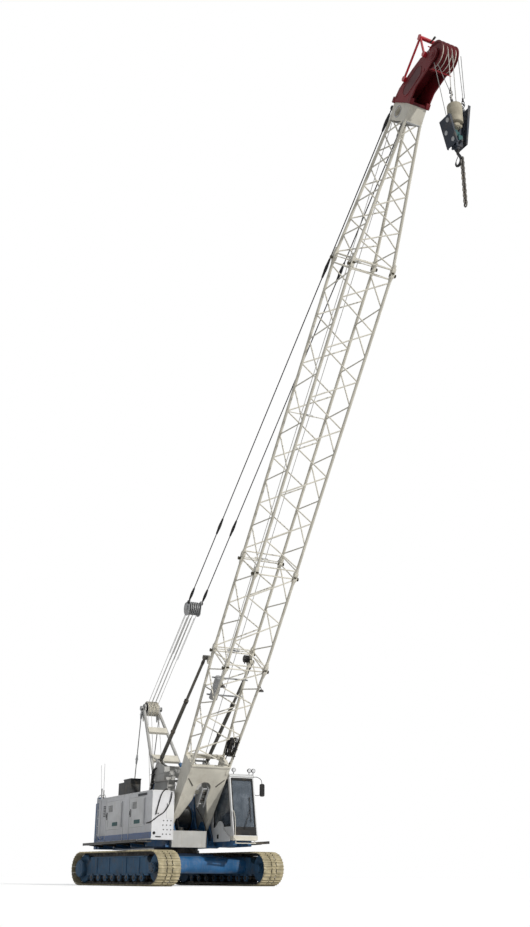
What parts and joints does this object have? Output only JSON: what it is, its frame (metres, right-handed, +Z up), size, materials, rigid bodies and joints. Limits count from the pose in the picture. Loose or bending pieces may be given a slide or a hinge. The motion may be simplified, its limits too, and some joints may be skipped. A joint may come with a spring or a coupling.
{
  "type": "crawler crane",
  "caption": "Crawler crane with a lattice boom on pendant stays, a gantry, telescoping backstops, a hollow cab, a machine house with hinged doors and a swivelling hook.",
  "frame": {"origin": "on the slew axis, at the underside of the carbody; the ground is 0.36 m below it", "axes": "+X the way the upper structure and the boom face, +Y to the driver's left, +Z up; the tracks stand turned by 9.3 degrees about +Z, as in the picture"},
  "size_m": [20.3584, 5.319, 20.9098],
  "materials": {
    "blue_paint": "blue paint, dusty",
    "dusty_steel": "cast shoes under dry dust",
    "dark_steel": "dark oiled steel",
    "cream_paint": "cream paint, worn",
    "white_paint": "white paint",
    "grey_steel": "galvanised grey",
    "black_paint": "black paint",
    "red_paint": "red paint",
    "rope_steel": "greased wire rope",
    "glass": "tinted glass",
    "fabric": "dark woven seat cover"
  },
  "bodies": {
    "undercarriage": {"carbody": "blue_paint", "slew_ring": "dark_steel", "track_frame_right": "blue_paint", "track_frame_left": "blue_paint", "track_right": "dusty_steel", "track_left": "dusty_steel"},
    "upper": {"revolving_frame": "blue_paint", "front_box": "white_paint", "house_right": "white_paint", "house_left": "white_paint", "engine_hood": "white_paint", "engine_block": "dark_steel", "roof_box": "grey_steel", "counterweight": "blue_paint", "catwalk_right": "dark_steel", "catwalk_left": "dark_steel", "cab_floor": "cream_paint", "cab_front": "white_paint", "cab_right": "white_paint", "cab_left": "white_paint", "cab_rear": "white_paint", "cab_roof": "white_paint", "glass_front": "glass", "glass_right": "glass", "glass_rear": "glass", "seat": "fabric", "console": "black_paint", "backstop_tower": "grey_steel", "gantry_frame": "grey_steel", "gantry_ties": "rope_steel"},
    "winch_front": {"winch_front": "dark_steel"},
    "winch_rear": {"winch_rear": "dark_steel"},
    "luffing_sheaves": {"gantry_sheaves": "grey_steel"},
    "boom": {"boom_base": "cream_paint", "boom_insert_short": "cream_paint", "boom_insert_long": "cream_paint", "boom_top": "cream_paint", "boom_head": "red_paint", "head_strut": "red_paint", "pendant_right": "black_paint", "pendant_left": "black_paint", "bridle": "grey_steel"},
    "head_sheaves": {"head_sheaves": "red_paint"},
    "backstop_tubes": {"backstop_tube_right": "black_paint", "backstop_tube_left": "black_paint"},
    "backstop_rods": {"backstop_rod_right": "dark_steel", "backstop_rod_left": "dark_steel"},
    "hook_block": {"hoist_falls": "rope_steel", "hook_block": "dark_steel"},
    "hook": {"hook": "black_paint", "chain": "rope_steel"},
    "cab_door": {"cab_door": "white_paint", "glass_door": "glass"},
    "door_right_front": {"door_right_front": "white_paint"},
    "door_right_rear": {"door_right_rear": "white_paint"},
    "door_left": {"door_left": "white_paint"}
  },
  "joints": [
    {"name": "slew", "type": "hinge", "parent": "undercarriage", "child": "upper", "pos_m": [0, 0, 0], "axis": [0, 0, 1], "continuous": true},
    {"name": "boom_luff", "type": "hinge", "parent": "upper", "child": "boom", "pos_m": [0.836, 0, 1.366], "axis": [0, -1, 0], "range_deg": [-22.3, 28.7]},
    {"name": "luffing_falls", "type": "hinge", "parent": "upper", "child": "luffing_sheaves", "pos_m": [-2.65, 0, 5.44], "axis": [0, -1, 0], "range_deg": [-22.4, 28.8]},
    {"name": "backstop_swing", "type": "hinge", "parent": "upper", "child": "backstop_tubes", "pos_m": [0.37, 0, 3.34], "axis": [0, -1, 0], "range_deg": [-27.7, 35.6]},
    {"name": "backstop_slide", "type": "slide", "parent": "backstop_tubes", "child": "backstop_rods", "axis": [0.7657, 0, 0.6432], "range_m": [-0.822, 0.639]},
    {"name": "head_sheave_spin", "type": "hinge", "parent": "boom", "child": "head_sheaves", "pos_m": [15.89189, 0, 19.63205], "axis": [0, 1, 0], "continuous": true},
    {"name": "hook_hang", "type": "hinge", "parent": "boom", "child": "hook_block", "pos_m": [15.89189, 0, 19.63205], "axis": [0, -1, 0], "range_deg": [-28.8, 22.4]},
    {"name": "hook_swivel", "type": "hinge", "parent": "hook_block", "child": "hook", "pos_m": [16.24107, 0, 16.50205], "axis": [0, 0, 1], "continuous": true},
    {"name": "winch_front_spin", "type": "hinge", "parent": "upper", "child": "winch_front", "pos_m": [-0.22, 0, 1.66], "axis": [0, 1, 0], "continuous": true},
    {"name": "winch_rear_spin", "type": "hinge", "parent": "upper", "child": "winch_rear", "pos_m": [-1.3, 0, 1.66], "axis": [0, 1, 0], "continuous": true},
    {"name": "cab_door_hinge", "type": "hinge", "parent": "upper", "child": "cab_door", "pos_m": [1.45, 1.582, 1.9], "axis": [0, 0, 1], "range_deg": [0, 100]},
    {"name": "door_right_front_hinge", "type": "hinge", "parent": "upper", "child": "door_right_front", "pos_m": [0.98, -1.522, 1.78], "axis": [0, 0, 1], "range_deg": [0, 110]},
    {"name": "door_right_rear_hinge", "type": "hinge", "parent": "upper", "child": "door_right_rear", "pos_m": [-1.02, -1.522, 1.78], "axis": [0, 0, 1], "range_deg": [0, 110]},
    {"name": "door_left_hinge", "type": "hinge", "parent": "upper", "child": "door_left", "pos_m": [-0.4, 1.522, 1.78], "axis": [0, 0, -1], "range_deg": [0, 110]}
  ],
  "couplings": [
    {"joint": "luffing_falls", "follows": "boom_luff", "ratio": 1},
    {"joint": "backstop_swing", "follows": "boom_luff", "ratio": 1.24},
    {"joint": "backstop_slide", "follows": "boom_luff", "m_per_rad": -1.64},
    {"joint": "hook_hang", "follows": "boom_luff", "ratio": -1}
  ]
}
